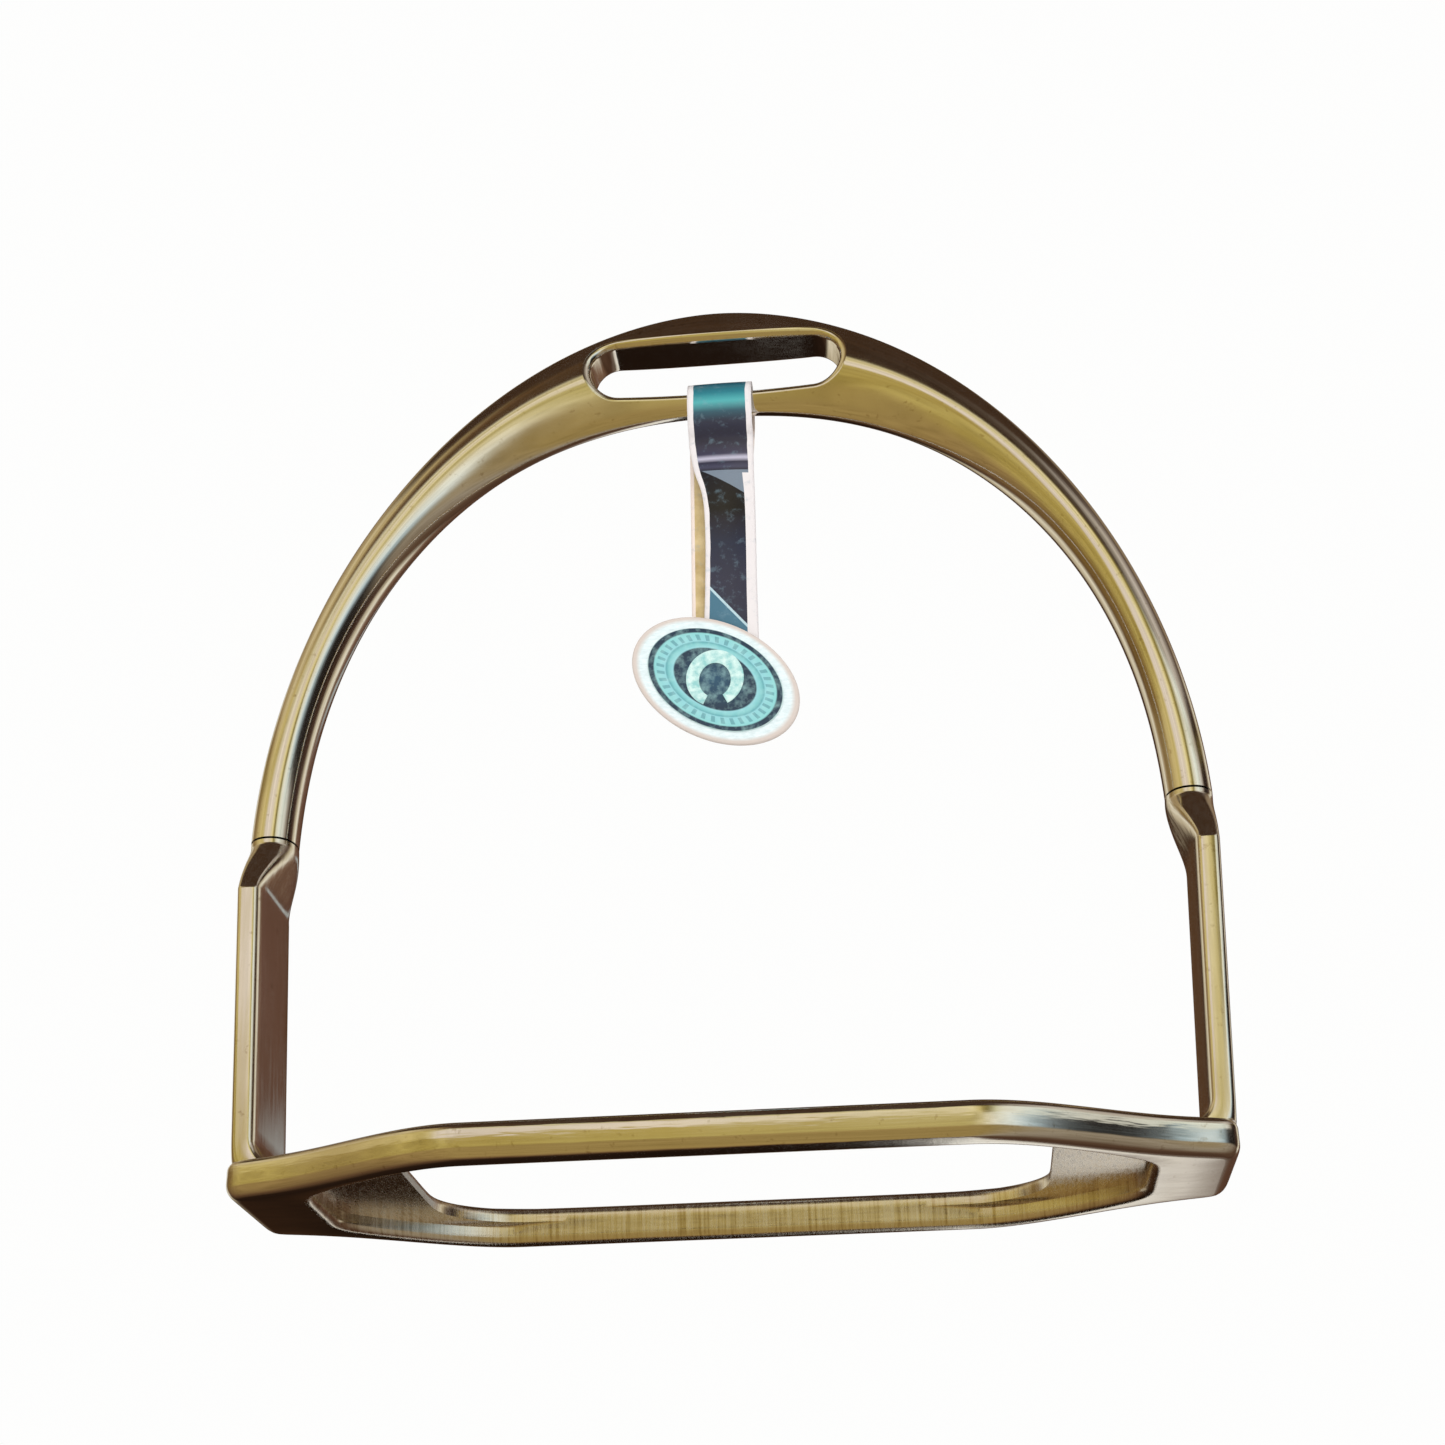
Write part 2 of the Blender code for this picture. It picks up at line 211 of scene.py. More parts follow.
def superellipse(power, steps=72):
    """Points round a unit superellipse, as (across, depth) from -1 to 1."""
    points = []
    for step in range(steps):
        turn = 2 * math.pi * step / steps
        across = math.copysign(abs(math.cos(turn)) ** (2 / power), math.cos(turn))
        depth = math.copysign(abs(math.sin(turn)) ** (2 / power), math.sin(turn))
        points.append((across, depth))
    return points


def bow_point(outline, parameter):
    exponent = 2.0 / outline["power"]
    cosine = math.cos(parameter)
    x = outline["half_width"] * math.copysign(abs(cosine) ** exponent, cosine)
    z = outline["base"] + outline["rise"] * math.sin(parameter) ** exponent
    return Vector((x, 0.0, z))


def bow_along(outline, amount):
    rise = (BOW_FOOT - outline["base"]) / outline["rise"]
    start = math.asin(rise ** (outline["power"] / 2.0))
    return bow_point(outline, mix(start, math.pi - start, amount))


def bow_ring(amount):
    outer = bow_along(BOW_OUTER, amount)
    inner = bow_along(BOW_INNER, amount)
    from_side = math.pi * min(amount, 1.0 - amount)
    thin = smooth((from_side - EYE_TAPER_TO) / (EYE_TAPER_FROM - EYE_TAPER_TO))
    middle = (outer + inner) / 2
    half_width = (outer - inner) / 2
    depth_inner = mix(BOW_HALF_DEPTH, EYE_BAR_HALF_DEPTH, thin)
    ring = []
    for across, depth in superellipse(mix(ARM_ROUNDNESS, EYE_ROUNDNESS, thin)):
        wedge = mix(depth_inner, BOW_HALF_DEPTH, smooth((across + 1.0) / 1.1))
        ring.append(middle + half_width * across + Vector((0.0, wedge * depth, 0.0)))
    return ring


def slot_outline(steps=28):
    """Points round the leather slot as (position, outward direction) in the XZ plane."""
    radius = (EYE_CEILING - EYE_FLOOR) / 2
    middle = (EYE_CEILING + EYE_FLOOR) / 2
    straight = EYE_HALF_LENGTH - radius
    points = []
    for side, start in ((1, -math.pi / 2), (-1, math.pi / 2)):
        for step in range(steps + 1):
            turn = start + math.pi * step / steps
            out = Vector((math.cos(turn), 0.0, math.sin(turn)))
            points.append((Vector((side * straight, 0.0, middle)) + out * radius, out))
        for step in range(1, 16):
            x = mix(side * straight, -side * straight, step / 16)
            out = Vector((0.0, 0.0, float(side)))
            points.append((Vector((x, 0.0, middle)) + out * radius, out))
    return points


def slot_cutter(bow_mesh):
    """The slot's shape. Its lips are rounded to end level with the bow's own face, all the way round."""
    tree = BVHTree.FromPolygons(
        [v.co.copy() for v in bow_mesh.vertices], [list(p.vertices) for p in bow_mesh.polygons]
    )

    def face_depth(point):
        hit = tree.ray_cast(Vector((point.x, -RAY_START, point.z)), Vector((0.0, 1.0, 0.0)))
        return -hit[0].y

    outline = slot_outline()
    inner_depth = [face_depth(point) for point, _ in outline]
    lip_depth = [face_depth(point + out * LIP_RADIUS) for point, out in outline]
    front = []
    steps = 9
    for step in range(steps + 1):
        turn = LIP_TURN * step / steps
        away = LIP_RADIUS * (1.0 - math.cos(turn))
        ring = []
        for (point, out), near, far in zip(outline, inner_depth, lip_depth):
            depth = mix(near, far, away / LIP_RADIUS) - LIP_RADIUS * (1.0 - math.sin(turn))
            ring.append(point + out * away - Vector((0.0, depth, 0.0)))
        front.append(ring)
    front.append([Vector((p.x, -CUTTER_HALF_DEPTH, p.z)) for p in front[-1]])
    back = [[Vector((p.x, -p.y, p.z)) for p in ring] for ring in front]
    return loft("slot_cutter", front[::-1] + back)


def cut(obj, mesh):
    """Take a mesh's volume out of an object, for good."""
    cutter = bpy.data.objects.new("cutter", mesh)
    bpy.context.scene.collection.objects.link(cutter)
    modifier = obj.modifiers.new("cut", "BOOLEAN")
    modifier.operation = "DIFFERENCE"
    modifier.solver = "EXACT"
    modifier.object = cutter
    graph = bpy.context.evaluated_depsgraph_get()
    result = bpy.data.meshes.new_from_object(obj.evaluated_get(graph))
    obj.modifiers.clear()
    old = obj.data
    obj.data = result
    bpy.data.meshes.remove(old)
    bpy.data.objects.remove(cutter, do_unlink=True)
    obj.data.shade_smooth()
    obj.data.set_sharp_from_angle(angle=math.radians(30))


def make_bow(material):
    mesh = loft("bow", [bow_ring(i / BOW_STATIONS) for i in range(BOW_STATIONS + 1)])
    bow = place("bow_polished", mesh, material)
    cut(bow, slot_cutter(mesh))
    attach(bow, "iron")
    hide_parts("bow")
    return bow


def plate_outer_x(z):
    bow_x = bow_along(BOW_OUTER, 0.0).x
    bottom = TREAD_THICKNESS + SEAM
    return mix(PLATE_FOOT_X, bow_x, (z - bottom) / (BOW_FOOT - bottom))


def plate_ring(side, z, thickness, depth, power):
    """A superellipse at this height, its outer face on the plate's leaning line."""
    centre = Vector((plate_outer_x(z) - thickness / 2, 0.0, z))
    ring = []
    for across, along in superellipse(power):
        point = centre + Vector((across * thickness / 2, along * depth, 0.0))
        ring.append(Vector((side * point.x, point.y, point.z)))
    return ring


def make_side_plate(name, side, node, material):
    bow_width = bow_along(BOW_OUTER, 0.0).x - bow_along(BOW_INNER, 0.0).x
    bottom = TREAD_THICKNESS + SEAM
    rings = [plate_ring(side, BOW_FOOT - SEAM, bow_width, BOW_HALF_DEPTH, ARM_ROUNDNESS)]
    for step in range(SHOULDER_STATIONS + 1):
        amount = step / SHOULDER_STATIONS
        slope = min(max((amount - 0.02) / 0.96, 0.0), 1.0)
        thickness = mix(bow_width, PLATE_THICKNESS, smooth(amount))
        depth = mix(BOW_HALF_DEPTH, PLATE_HALF_DEPTH, slope)
        power = mix(ARM_ROUNDNESS, PLATE_ROUNDNESS, smooth(amount * 1.15))
        rings.append(
            plate_ring(side, mix(SHOULDER_TOP, SHOULDER_BOTTOM, amount), thickness, depth, power)
        )
    for step in range(1, PLATE_STATIONS):
        z = mix(SHOULDER_BOTTOM, bottom + FOOT_FILLET, step / PLATE_STATIONS)
        rings.append(plate_ring(side, z, PLATE_THICKNESS, PLATE_HALF_DEPTH, PLATE_ROUNDNESS))
    for step in range(FOOT_STATIONS + 1):
        turn = step / FOOT_STATIONS * math.pi / 2
        z = bottom + FOOT_FILLET * (1.0 - math.sin(turn))
        thickness = PLATE_THICKNESS + FOOT_FILLET * (1.0 - math.cos(turn))
        rings.append(plate_ring(side, z, thickness, PLATE_HALF_DEPTH, PLATE_ROUNDNESS))
    plate = place(name, loft(name, rings), material)
    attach(plate, "iron")
    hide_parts(node)
    return plate


def tread_half_depth(x):
    ease = smooth((abs(x) - TREAD_EASE_FROM) / (TREAD_EASE_TO - TREAD_EASE_FROM))
    return mix(TREAD_HALF_DEPTH, TAB_HALF_DEPTH, ease)


def tread_outline(half_length, rail, end_power):
    back = []
    for station in range(TREAD_STATIONS):
        turn = math.pi * (station + 0.5) / TREAD_STATIONS
        x = half_length * math.cos(turn)
        end = (1.0 - abs(math.cos(turn)) ** end_power) ** (1.0 / end_power)
        back.append(Vector((x, (tread_half_depth(x) - rail) * end, 0.0)))
    return back + [-point for point in back]


def widened(outline, distance, z):
    ring = []
    for i, point in enumerate(outline):
        along = (outline[(i + 1) % len(outline)] - outline[i - 1]).normalized()
        ring.append(point + Vector((along.y, -along.x, 0.0)) * distance + Vector((0.0, 0.0, z)))
    return ring


def rounded_edge(outline, side, level, way, radius=TREAD_ROUND, steps=8):
    rings = []
    for step in range(steps + 1):
        turn = step / steps * math.pi / 2
        away = -side * radius * (1.0 - math.sin(turn))
        rings.append(widened(outline, away, level + way * radius * (1.0 - math.cos(turn))))
    return rings


def mark_rows(bm, rows):
    """UVs that say where a point is: u along the rail, and v round the section, from the rim's
    lower edge up its outer wall, over the top, down the opening and out along the pocket."""
    uv = bm.loops.layers.uv.new("tread")
    share = {}
    for i, row in enumerate(rows):
        for j, vert in enumerate(row):
            share[vert] = (j / len(row), i / len(rows))
    for face in bm.faces:
        along = [share[loop.vert][0] for loop in face.loops]
        across = [share[loop.vert][1] for loop in face.loops]
        underside = max(across) - min(across) > 0.5
        for loop in face.loops:
            u, v = share[loop.vert]
            if max(along) - u > 0.5:
                u += 1.0
            loop[uv].uv = (u, 0.0 if underside else v)


def make_tread(material):
    rim = tread_outline(TREAD_HALF_LENGTH, 0.0, RIM_END_POWER)
    opening = tread_outline(OPENING_HALF_LENGTH, OPENING_RAIL, END_POWER)
    pocket = tread_outline(POCKET_HALF_LENGTH, POCKET_RAIL, END_POWER)
    rings = rounded_edge(rim, 1, 0.0, 1, RIM_ROUND)
    rings += reversed(rounded_edge(rim, 1, TREAD_THICKNESS, -1))
    rings += rounded_edge(opening, -1, TREAD_THICKNESS, -1)
    rings.append(widened(opening, 0.0, OPENING_DROP))
    rings.append(widened(pocket, 0.0, POCKET_DEPTH))
    rings += reversed(rounded_edge(pocket, -1, 0.0, 1))
    bm = bmesh.new()
    rows = skin(bm, rings, closed=True)
    mark_rows(bm, rows)
    tread = place("tread_polished", mesh_of("tread", bm), material, 32.0)
    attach(tread, "iron")
    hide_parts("tread")
    return tread


# ---------------------------------------------------------------- swing tag


def strap_path():
    """The strap's middle line from the end of its back leg, over the bar, to the end of its front leg.

    Each entry is (y, z, shift along x, turn about z in degrees, half width), in millimetres.
    """
    return [
        (0.55, 78.0, -0.3, 0, 4.4),
        (0.60, 86.0, -0.3, 0, 4.4),
        (0.62, 94.0, -0.3, 0, 4.4),
        (0.55, 102.0, -0.2, 0, 4.5),
        (0.45, 108.0, -0.1, 0, 4.6),
        (0.50, 111.2, 0.0, 0, 4.7),
        (1.70, 113.4, 0.0, 0, 4.7),
        (2.85, 116.0, 0.0, 0, 4.7),
        (2.60, 118.8, 0.0, 0, 4.7),
        (1.30, 120.7, 0.0, 0, 4.7),
        (0.00, 121.05, 0.0, 0, 4.7),
        (-1.40, 120.7, 0.0, 0, 4.7),
        (-2.70, 118.8, 0.0, 0, 4.7),
        (-3.00, 116.0, 0.0, 0, 4.7),
        (-2.30, 113.2, 0.0, 0, 4.7),
        (-1.25, 111.6, 0.0, 0, 4.7),
        (-0.95, 109.8, 0.05, 0, 4.65),
        (-1.00, 106.0, 0.35, 3, 4.3),
        (-0.95, 101.5, 0.95, 6, 3.75),
        (-0.85, 95.0, 1.1, 6, 3.6),
        (-0.60, 87.0, 1.0, 4, 3.65),
        (-0.40, 81.0, 0.9, 2, 3.8),
        (-0.35, 77.0, 0.8, 0, 3.9),
    ]


def catmull_rom(values, amount):
    """Smooth values along a list, with amount from 0 at its start to 1 at its end."""
    place_in = amount * (len(values) - 1)
    first = min(int(place_in), len(values) - 2)
    t = place_in - first
    before = values[max(first - 1, 0)]
    start, end = values[first], values[first + 1]
    after = values[min(first + 2, len(values) - 1)]
    result = []
    for p, a, b, n in zip(before, start, end, after):
        result.append(
            0.5 * (2 * a + (b - p) * t + (2 * p - 5 * a + 4 * b - n) * t**2 + (3 * a - p - 3 * b + n) * t**3)
        )
    return result


def make_strap(material):
    """One sheet, folded over the bar."""
    along, across = 150, 20
    path = strap_path()
    bm = bmesh.new()
    uv = bm.loops.layers.uv.new("strap")
    rows = []
    for i in range(along + 1):
        y, z, shift, turn, half = catmull_rom(path, i / along)
        centre = Vector((TAG_X + shift * MM, y * MM, z * MM))
        direction = Vector((math.cos(math.radians(turn)), math.sin(math.radians(turn)), 0.0))
        row = []
        for j in range(across + 1):
            s = 2 * j / across - 1
            cup = Vector((0.0, STRAP_CUP * s * s, 0.0)) * (1 if z > 112 else 2)
            row.append(bm.verts.new(centre + direction * (s * half * MM) + cup))
        rows.append(row)
    for i in range(along):
        for j in range(across):
            face = bm.faces.new((rows[i][j], rows[i][j + 1], rows[i + 1][j + 1], rows[i + 1][j]))
            corners = ((j, i), (j + 1, i), (j + 1, i + 1), (j, i + 1))
            for loop, (u, v) in zip(face.loops, corners):
                loop[uv].uv = (u / across, v / along)
    mesh = bpy.data.meshes.new("tag_strap")
    bm.to_mesh(mesh)
    bm.free()
    strap = place("tag_strap_printed", mesh, material, 80.0)
    thick = strap.modifiers.new("thickness", "SOLIDIFY")
    thick.thickness = STRAP_THICKNESS
    thick.offset = 0.0
    graph = bpy.context.evaluated_depsgraph_get()
    strap.data = bpy.data.meshes.new_from_object(strap.evaluated_get(graph))
    strap.modifiers.clear()
    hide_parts("tag_loop", "tag_strap")
    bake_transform(strap)
    return strap


def disc_matrix():
    turn = Matrix.Rotation(DISC_TURN, 4, "Y") @ Matrix.Rotation(math.pi / 2, 4, "X")
    return Matrix.Translation((DISC_CENTRE[0], DISC_BACK, DISC_CENTRE[1])) @ turn


def oval_plate(name, half_x, half_y, base, thickness, edge, rings=16, steps=120):
    """An oval card with a rounded rim, in its own plane, with UVs from -1 to 1 over the oval."""
    bm = bmesh.new()
    uv = bm.loops.layers.uv.new("oval")

    def point(share, turn, height):
        return (half_x * share * math.cos(turn), half_y * share * math.sin(turn), base + height)

    profile = [(r / rings * (1 - edge), thickness) for r in range(1, rings + 1)]
    for step in range(1, 7):
        turn = step / 6 * math.pi
        profile.append((1 - edge + edge * math.sin(turn), thickness * (0.5 + 0.5 * math.cos(turn))))
    profile += [(r / rings * (1 - edge), 0.0) for r in range(rings - 1, 0, -1)]
    rows = []
    for share, height in profile:
        rows.append([bm.verts.new(point(share, 2 * math.pi * i / steps, height)) for i in range(steps)])
    top = bm.verts.new(point(0.0, 0.0, thickness))
    bottom = bm.verts.new(point(0.0, 0.0, 0.0))
    for i in range(steps):
        j = (i + 1) % steps
        bm.faces.new((top, rows[0][i], rows[0][j]))
        bm.faces.new((bottom, rows[-1][j], rows[-1][i]))
        for low, high in zip(rows, rows[1:]):
            bm.faces.new((low[i], high[i], high[j], low[j]))
    for face in bm.faces:
        for loop in face.loops:
            loop[uv].uv = (loop.vert.co.x / half_x, loop.vert.co.y / half_y)
    return mesh_of(name, bm)


def make_disc(card):
    mesh = oval_plate("tag_disc", DISC_HALF_LENGTH, DISC_HALF_WIDTH, 0.0, DISC_THICKNESS, edge=0.03)
    mesh.transform(disc_matrix())
    disc = place("tag_disc_card", mesh, card, 50.0)
    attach(disc, "tag")
    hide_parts("tag_disc")
    return disc


def make_seal(printed):
    half_x, half_y = DISC_HALF_LENGTH * SEAL_SCALE, DISC_HALF_WIDTH * SEAL_SCALE
    base = DISC_THICKNESS + PRINT_GAP
    mesh = oval_plate("tag_seal", half_x, half_y, base, PRINT_THICKNESS, edge=0.012)
    mesh.transform(disc_matrix())
    seal = place("tag_seal_printed", mesh, printed, 50.0)
    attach(seal, "tag")
    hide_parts("tag_seal")
    return seal


def make_horseshoe(material):
    """A plain raised horseshoe in the middle of the seal, in place of the printed picture."""
    base = DISC_THICKNESS + PRINT_THICKNESS + 2 * PRINT_GAP
    steps = 48
    start = (SHOE_OPENING - math.pi) / 2
    end = math.pi - start
    bm = bmesh.new()
    rings = []
    for i in range(steps + 1):
        turn = mix(start, end, i / steps)
        half_web = SHOE_HALF_WEB * mix(0.72, 1.0, math.sin(i / steps * math.pi))
        middle = Vector((SHOE_RADII[0] * math.cos(turn), SHOE_RADII[1] * math.sin(turn), base))
        out = Vector((math.cos(turn), math.sin(turn), 0.0))
        ring = []
        for u, v in ((-1, 0), (-1, 0.6), (-0.7, 1), (0.7, 1), (1, 0.6), (1, 0)):
            ring.append(middle + out * (u * half_web) + Vector((0.0, 0.0, v * PRINT_THICKNESS)))
        rings.append(ring)
    rows = skin(bm, rings)
    bm.faces.new(rows[0])
    bm.faces.new(rows[-1])
    mesh = mesh_of("tag_horseshoe", bm)
    upright = Matrix.Rotation(DISC_TURN, 4, "Z")
    mesh.transform(disc_matrix() @ upright)
    shoe = place("tag_horseshoe", mesh, material, 40.0)
    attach(shoe, "tag")
    return shoe


# ---------------------------------------------------------------- materials


class Nodes:
    """Short calls for building a node tree."""

    def __init__(self, tree):
        self.tree = tree

    def add(self, kind, **values):
        node = self.tree.nodes.new(kind)
        for name, value in values.items():
            setattr(node, name, value)
        return node

    def link(self, source, target):
        self.tree.links.new(source, target)

    def math(self, operation, first, second=None):
        node = self.add("ShaderNodeMath", operation=operation)
        for socket, value in zip(node.inputs, (first, second)):
            if value is None:
                continue
            if isinstance(value, (int, float)):
                socket.default_value = value
            else:
                self.link(value, socket)
        return node.outputs[0]

    def ramp(self, factor, stops, interpolation="LINEAR"):
        node = self.add("ShaderNodeValToRGB")
        node.color_ramp.interpolation = interpolation
        elements = node.color_ramp.elements
        while len(elements) > 1:
            elements.remove(elements[-1])
        elements[0].position = stops[0][0]
        elements[0].color = stops[0][1]
        for position, colour in stops[1:]:
            elements.new(position).color = colour
        self.link(factor, node.inputs["Fac"])
        return node.outputs["Color"]

    def mix_colour(self, factor, first, second, blend="MIX"):
        node = self.add("ShaderNodeMix", data_type="RGBA", blend_type=blend)
        for socket, value in ((node.inputs[0], factor), (node.inputs[6], first), (node.inputs[7], second)):
            if isinstance(value, (int, float, tuple)):
                socket.default_value = value
            else:
                self.link(value, socket)
        return node.outputs[2]

    def mix_value(self, factor, first, second):
        node = self.add("ShaderNodeMix", data_type="FLOAT")
        for socket, value in zip((node.inputs[0], node.inputs[2], node.inputs[3]), (factor, first, second)):
            self.link(value, socket)
        return node.outputs[0]

    def xyz(self, vector):
        node = self.add("ShaderNodeSeparateXYZ")
        self.link(vector, node.inputs[0])
        return node.outputs["X"], node.outputs["Y"], node.outputs["Z"]

    def rise(self, value, start, end, peak=1.0, interpolation="LINEAR"):
        """0 up to start, then up to the peak at end."""
        return self.ramp(value, [(start, BLACK), (end, grey(peak))], interpolation)

    def step(self, value, limits):
        return self.rise(value, *limits, interpolation="EASE")

    def between(self, value, start, full, fading, end, peak=1.0):
        """0 outside start and end, and the peak from full to fading."""
        return self.ramp(value, [(start, BLACK), (full, grey(peak)), (fading, grey(peak)), (end, BLACK)])

    def noise(self, vector, scale, detail=3.0, roughness=0.5):
        node = self.add("ShaderNodeTexNoise")
        node.inputs["Scale"].default_value = scale
        node.inputs["Detail"].default_value = detail
        node.inputs["Roughness"].default_value = roughness
        self.link(vector, node.inputs["Vector"])
        return node.outputs["Fac"]

    def stretched(self, vector, scale):
        node = self.add("ShaderNodeMapping")
        node.inputs["Scale"].default_value = scale
        self.link(vector, node.inputs["Vector"])
        return node.outputs["Vector"]


def new_material(name):
    material = bpy.data.materials.new(name)
    material.use_nodes = True
    nodes = Nodes(material.node_tree)
    shader = material.node_tree.nodes["Principled BSDF"]
    return material, nodes, shader


def bump(nodes, shader, height, strength, distance):
    node = nodes.add("ShaderNodeBump")
    node.inputs["Strength"].default_value = strength
    node.inputs["Distance"].default_value = distance
    nodes.link(height, node.inputs["Height"])
    nodes.link(node.outputs["Normal"], shader.inputs["Normal"])


def metal_base(name):
    """Polished nickel's colour: a warm white metal with faint clouds and specks of tarnish."""
    material, nodes, shader = new_material(name)
    where = nodes.add("ShaderNodeTexCoord").outputs["Object"]
    shader.inputs["Metallic"].default_value = 1.0
    clouds = nodes.noise(where, 70.0, 4.0, 0.6)
    tone = nodes.ramp(clouds, [(0.30, srgb(243, 239, 228)), (0.70, srgb(252, 250, 244))])
    specks = nodes.noise(where, 800.0, 3.0, 0.65)
    stain = nodes.rise(specks, 0.62, 0.76, 0.5)
    return material, nodes, shader, where, clouds, nodes.mix_colour(stain, tone, srgb(178, 156, 124))


def spread(nodes, value, low, high):
    """A noise value stretched to run from low to high."""
    node = nodes.add("ShaderNodeMapRange")
    node.inputs["From Min"].default_value = 0.30
    node.inputs["From Max"].default_value = 0.70
    node.inputs["To Min"].default_value = low
    node.inputs["To Max"].default_value = high
    nodes.link(value, node.inputs["Value"])
    return node.outputs["Result"]


def polished_bow_metal():
    """Polishing lines run round the bow; the surface is slightly uneven, as a hand-finished casting is."""
    material, nodes, shader, where, clouds, colour = metal_base("polished_nickel")
    nodes.link(colour, shader.inputs["Base Color"])
    grain = nodes.noise(nodes.stretched(where, (420.0, 2600.0, 420.0)), 1.0, 4.0, 0.6)
    blend = nodes.math("ADD", nodes.math("MULTIPLY", clouds, 0.6), nodes.math("MULTIPLY", grain, 0.4))
    nodes.link(spread(nodes, blend, 0.05, 0.15), shader.inputs["Roughness"])
    ripple = nodes.noise(where, 120.0, 3.0, 0.5)
    height = nodes.math("ADD", nodes.math("MULTIPLY", grain, 0.25), ripple)
    bump(nodes, shader, height, 0.22, 0.05 * MM)
    return material


def polished_plate_metal():
    """The side plates were polished up and down, so their reflections break into upright streaks."""
    material, nodes, shader, where, clouds, colour = metal_base("polished_plate")
    nodes.link(colour, shader.inputs["Base Color"])
    grain = nodes.noise(nodes.stretched(where, (1800.0, 1800.0, 90.0)), 1.0, 4.0, 0.6)
    nodes.link(spread(nodes, grain, 0.07, 0.20), shader.inputs["Roughness"])
    streaks = nodes.noise(nodes.stretched(where, (300.0, 300.0, 22.0)), 1.0, 3.0, 0.55)
    height = nodes.math("ADD", nodes.math("MULTIPLY", grain, 0.05), streaks)
    bump(nodes, shader, height, 0.5, 0.12 * MM)
    return material


def polished_tread_metal():
    """A polished rim, and inside it walls left with the upright lines of the file."""
    material, nodes, shader, where, clouds, colour = metal_base("polished_tread")
    _, round_section, _ = nodes.xyz(nodes.add("ShaderNodeTexCoord").outputs["UV"])
    inside = nodes.math("GREATER_THAN", round_section, FILED_FROM)
    filed = nodes.noise(nodes.stretched(where, (2600.0, 500.0, 60.0)), 1.0, 3.0, 0.6)
    dull, clean, bright = srgb(214, 202, 180), srgb(249, 243, 230), srgb(255, 253, 247)
    pale = nodes.ramp(filed, [(0.32, dull), (0.50, clean), (0.70, bright)])
    nodes.link(nodes.mix_colour(inside, colour, pale), shader.inputs["Base Color"])
    rim_rough = spread(nodes, clouds, 0.07, 0.17)
    wall_rough = spread(nodes, filed, 0.17, 0.32)
    nodes.link(nodes.mix_value(inside, rim_rough, wall_rough), shader.inputs["Roughness"])
    ripple = nodes.noise(nodes.stretched(where, (60.0, 120.0, 520.0)), 1.0, 3.0, 0.55)
    fine = nodes.math("MULTIPLY", filed, nodes.math("ADD", nodes.math("MULTIPLY", inside, 0.14), 0.02))
    bump(nodes, shader, nodes.math("ADD", ripple, fine), 0.5, 0.12 * MM)
    return material


def radius_of(nodes, uv):
    """Distance from the oval's middle, 1 at its rim."""
    length = nodes.add("ShaderNodeVectorMath", operation="LENGTH")
    nodes.link(uv, length.inputs[0])
    return length.outputs["Value"]


def card_material():
    material, nodes, shader = new_material("tag_card")
    where = nodes.add("ShaderNodeTexCoord").outputs["Object"]
    fibre = nodes.noise(nodes.stretched(where, (900.0, 900.0, 2600.0)), 1.0, 5.0, 0.65)
    tone = nodes.ramp(fibre, [(0.3, srgb(200, 215, 217)), (0.7, srgb(228, 239, 241))])
    uv = nodes.add("ShaderNodeTexCoord").outputs["UV"]
    radius = radius_of(nodes, uv)
    worn_edge = nodes.rise(radius, 0.90, 0.955)
    nodes.link(nodes.mix_colour(worn_edge, tone, srgb(204, 192, 184)), shader.inputs["Base Color"])
    shader.inputs["Roughness"].default_value = 0.48
    shader.inputs["Coat Weight"].default_value = 0.25
    shader.inputs["Coat Roughness"].default_value = 0.2
    bump(nodes, shader, fibre, 0.35, 0.03 * MM)
    return material


def seal_material():
    """Rings of print on the oval, with a ring of plain ticks where lettering would be."""
    material, nodes, shader = new_material("tag_seal_print")
    uv = nodes.add("ShaderNodeTexCoord").outputs["UV"]
    x, y, _ = nodes.xyz(uv)
    radius = radius_of(nodes, uv)
    navy, teal, light = srgb(30, 54, 76), srgb(58, 118, 132), srgb(138, 198, 204)
    rings = nodes.ramp(
        radius,
        [
            (0.00, srgb(38, 78, 104)),
            (0.56, navy),
            (0.60, navy),
            (0.62, light),
            (0.68, srgb(120, 188, 190)),
            (0.72, srgb(90, 158, 166)),
            (0.74, light),
            (0.895, srgb(132, 198, 198)),
            (0.915, navy),
            (0.985, navy),
            (0.995, srgb(196, 220, 218)),
        ],
    )
    turn = nodes.math("ARCTAN2", y, x)
    tick_on = nodes.math("GREATER_THAN", nodes.math("SINE", nodes.math("MULTIPLY", turn, 36.0)), 0.25)
    in_ring = nodes.math(
        "MULTIPLY", nodes.math("GREATER_THAN", radius, 0.75), nodes.math("LESS_THAN", radius, 0.865)
    )
    ticks = nodes.math("MULTIPLY", tick_on, in_ring)
    marked = nodes.mix_colour(nodes.math("MULTIPLY", ticks, 0.55), rings, teal)
    where = nodes.add("ShaderNodeTexCoord").outputs["Object"]
    mottle = nodes.noise(where, 900.0, 4.0, 0.6)
    worn = nodes.rise(mottle, 0.45, 0.75, 0.4)
    nodes.link(nodes.mix_colour(worn, marked, srgb(168, 214, 210)), shader.inputs["Base Color"])
    shader.inputs["Roughness"].default_value = 0.35
    shader.inputs["Coat Weight"].default_value = 0.3
    shader.inputs["Coat Roughness"].default_value = 0.15
    bump(nodes, shader, mottle, 0.2, 0.02 * MM)
    return material


